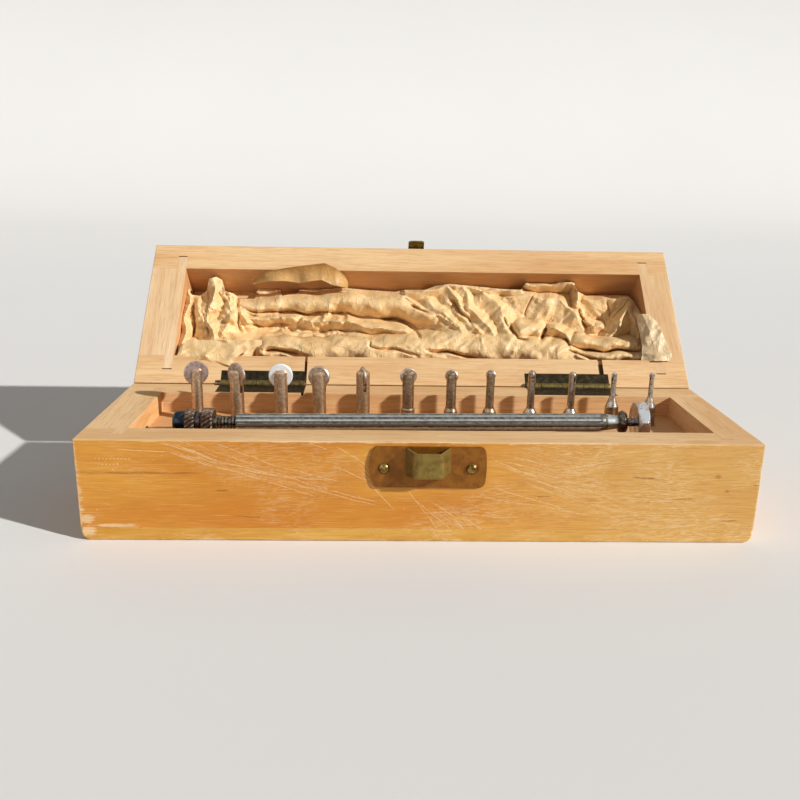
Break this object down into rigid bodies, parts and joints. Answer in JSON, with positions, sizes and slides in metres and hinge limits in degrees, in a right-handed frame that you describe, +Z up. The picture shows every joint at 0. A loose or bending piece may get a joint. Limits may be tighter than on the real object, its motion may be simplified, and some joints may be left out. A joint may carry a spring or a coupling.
{
  "type": "watchmaker tool box",
  "caption": "Hinged wooden tool box with a catch, a drilled block holding graduated wheel-tipped steel tools, a fluted holder with a knurled chuck, and crumpled paper in the lid.",
  "frame": {"origin": "centre of the base's underside", "axes": "+X to the right along the box's length, +Y to the back where the hinges are, +Z up"},
  "size_m": [0.15, 0.0931, 0.0593],
  "materials": {
    "varnished_wood": "worn honey varnish outside, bare pale wood on rims and inside",
    "block_wood": "bare, dusty",
    "hinge_brass": "olive tarnish, bright worn knuckles",
    "catch_brass": "brown tarnish, bright worn edges",
    "browned_steel": "brown patina, mottled",
    "dark_steel": "dark patina",
    "bright_steel": "fine turned finish",
    "blued_steel": "blued",
    "waxed_paper": "crumpled, waxed, translucent"
  },
  "bodies": {
    "base": {"base_front_wall": "varnished_wood", "base_back_wall": "varnished_wood", "base_left_wall": "varnished_wood", "base_right_wall": "varnished_wood", "bottom_board": "varnished_wood", "tool_block": "block_wood", "left_hinge_base_leaf": "hinge_brass", "left_hinge_pin": "hinge_brass", "right_hinge_base_leaf": "hinge_brass", "right_hinge_pin": "hinge_brass", "base_leaf_nails": "hinge_brass", "catch_plate": "catch_brass", "catch_nails": "catch_brass"},
    "lid": {"lid_front_wall": "varnished_wood", "lid_back_wall": "varnished_wood", "lid_left_wall": "varnished_wood", "lid_right_wall": "varnished_wood", "top_board": "varnished_wood", "left_hinge_lid_leaf": "hinge_brass", "right_hinge_lid_leaf": "hinge_brass", "lid_leaf_nails": "hinge_brass", "tongue_plate": "catch_brass", "tongue_nails": "catch_brass", "wrapping_paper": "waxed_paper"},
    "swivel": {"swivel_head": "browned_steel", "swivel_stem": "dark_steel"},
    "holder_grip": {"grip": "bright_steel", "chuck_stud": "dark_steel", "end_ring": "browned_steel"},
    "lock_ring": {"lock_nut": "browned_steel"},
    "chuck": {"clamp_nut": "browned_steel", "nose_cap": "blued_steel"},
    "tool_01": {"shank_01": "browned_steel"},
    "roller_01": {"wheel_01": "browned_steel"},
    "tool_02": {"shank_02": "browned_steel"},
    "roller_02": {"wheel_02": "browned_steel"},
    "tool_03": {"shank_03": "browned_steel"},
    "roller_03": {"wheel_03": "bright_steel"},
    "tool_04": {"shank_04": "browned_steel"},
    "roller_04": {"wheel_04": "browned_steel"},
    "tool_05": {"shank_05": "browned_steel"},
    "roller_05": {"wheel_05": "browned_steel"},
    "tool_06": {"shank_06": "browned_steel"},
    "roller_06": {"wheel_06": "browned_steel"},
    "tool_07": {"shank_07": "dark_steel"},
    "roller_07": {"wheel_07": "dark_steel"},
    "tool_08": {"shank_08": "dark_steel"},
    "roller_08": {"wheel_08": "dark_steel"},
    "tool_09": {"shank_09": "bright_steel"},
    "roller_09": {"wheel_09": "bright_steel"},
    "tool_10": {"shank_10": "bright_steel"},
    "roller_10": {"wheel_10": "bright_steel"},
    "tool_11": {"shank_11": "bright_steel"},
    "roller_11": {"wheel_11": "bright_steel"},
    "tool_12": {"shank_12": "bright_steel"},
    "roller_12": {"wheel_12": "bright_steel"}
  },
  "joints": [
    {"name": "lid_hinge", "type": "hinge", "parent": "base", "child": "lid", "pos_m": [0, 0.02325, 0.0237], "axis": [-1, 0, 0], "range_deg": [-134, 46], "deforming": ["wrapping_paper"]},
    {"name": "holder_lift", "type": "slide", "parent": "base", "child": "swivel", "axis": [0, 0, 1], "range_m": [0, 0.015]},
    {"name": "grip_turn", "type": "hinge", "parent": "swivel", "child": "holder_grip", "pos_m": [0.04235, -0.00788, 0.02365], "axis": [0.9995, -0.0255, 0.0177], "continuous": true},
    {"name": "lock_nut_turn", "type": "hinge", "parent": "holder_grip", "child": "lock_ring", "pos_m": [-0.0495, -0.00554, 0.02202], "axis": [0.9995, -0.0255, 0.0177], "continuous": true},
    {"name": "clamp_nut_turn", "type": "hinge", "parent": "holder_grip", "child": "chuck", "pos_m": [-0.0536, -0.00544, 0.02195], "axis": [0.9995, -0.0255, 0.0177], "continuous": true},
    {"name": "tool_01_lift", "type": "slide", "parent": "base", "child": "tool_01", "axis": [0, 0, 1], "range_m": [0, 0.0135]},
    {"name": "roller_01_turn", "type": "hinge", "parent": "tool_01", "child": "roller_01", "pos_m": [-0.05457, 0.0069, 0.0308], "axis": [-0.3746, 0.9272, 0], "continuous": true},
    {"name": "tool_02_lift", "type": "slide", "parent": "base", "child": "tool_02", "axis": [0, 0, 1], "range_m": [0, 0.0135]},
    {"name": "roller_02_turn", "type": "hinge", "parent": "tool_02", "child": "roller_02", "pos_m": [-0.0447, 0.0069, 0.0303], "axis": [0.6428, 0.766, 0], "continuous": true},
    {"name": "tool_03_lift", "type": "slide", "parent": "base", "child": "tool_03", "axis": [0, 0, 1], "range_m": [0, 0.0135]},
    {"name": "roller_03_turn", "type": "hinge", "parent": "tool_03", "child": "roller_03", "pos_m": [-0.03385, 0.0069, 0.0303], "axis": [-0.0872, 0.9962, 0], "continuous": true},
    {"name": "tool_04_lift", "type": "slide", "parent": "base", "child": "tool_04", "axis": [0, 0, 1], "range_m": [0, 0.0135]},
    {"name": "roller_04_turn", "type": "hinge", "parent": "tool_04", "child": "roller_04", "pos_m": [-0.0244, 0.0069, 0.0301], "axis": [0.1736, 0.9848, 0], "continuous": true},
    {"name": "tool_05_lift", "type": "slide", "parent": "base", "child": "tool_05", "axis": [0, 0, 1], "range_m": [0, 0.0135]},
    {"name": "roller_05_turn", "type": "hinge", "parent": "tool_05", "child": "roller_05", "pos_m": [-0.0135, 0.0069, 0.0303], "axis": [0.9511, 0.309, 0], "continuous": true},
    {"name": "tool_06_lift", "type": "slide", "parent": "base", "child": "tool_06", "axis": [0, 0, 1], "range_m": [0, 0.0135]},
    {"name": "roller_06_turn", "type": "hinge", "parent": "tool_06", "child": "roller_06", "pos_m": [-0.00224, 0.0069, 0.0305], "axis": [-0.1736, 0.9848, 0], "continuous": true},
    {"name": "tool_07_lift", "type": "slide", "parent": "base", "child": "tool_07", "axis": [0, 0, 1], "range_m": [0, 0.0135]},
    {"name": "roller_07_turn", "type": "hinge", "parent": "tool_07", "child": "roller_07", "pos_m": [0.0085, 0.0069, 0.03065], "axis": [0.2588, 0.9659, 0], "continuous": true},
    {"name": "tool_08_lift", "type": "slide", "parent": "base", "child": "tool_08", "axis": [0, 0, 1], "range_m": [0, 0.0135]},
    {"name": "roller_08_turn", "type": "hinge", "parent": "tool_08", "child": "roller_08", "pos_m": [0.01825, 0.0069, 0.03105], "axis": [0.342, 0.9397, 0], "continuous": true},
    {"name": "tool_09_lift", "type": "slide", "parent": "base", "child": "tool_09", "axis": [0, 0, 1], "range_m": [0, 0.0135]},
    {"name": "roller_09_turn", "type": "hinge", "parent": "tool_09", "child": "roller_09", "pos_m": [0.02856, 0.0069, 0.0313], "axis": [0.9781, 0.2079, 0], "continuous": true},
    {"name": "tool_10_lift", "type": "slide", "parent": "base", "child": "tool_10", "axis": [0, 0, 1], "range_m": [0, 0.0135]},
    {"name": "roller_10_turn", "type": "hinge", "parent": "tool_10", "child": "roller_10", "pos_m": [0.03872, 0.0069, 0.03115], "axis": [0.8829, 0.4695, 0], "continuous": true},
    {"name": "tool_11_lift", "type": "slide", "parent": "base", "child": "tool_11", "axis": [0, 0, 1], "range_m": [0, 0.0135]},
    {"name": "roller_11_turn", "type": "hinge", "parent": "tool_11", "child": "roller_11", "pos_m": [0.04919, 0.0069, 0.03125], "axis": [-0.5, 0.866, 0], "continuous": true},
    {"name": "tool_12_lift", "type": "slide", "parent": "base", "child": "tool_12", "axis": [0, 0, 1], "range_m": [0, 0.0135]},
    {"name": "roller_12_turn", "type": "hinge", "parent": "tool_12", "child": "roller_12", "pos_m": [0.05871, 0.0069, 0.0314], "axis": [-0.2588, 0.9659, 0], "continuous": true}
  ]
}
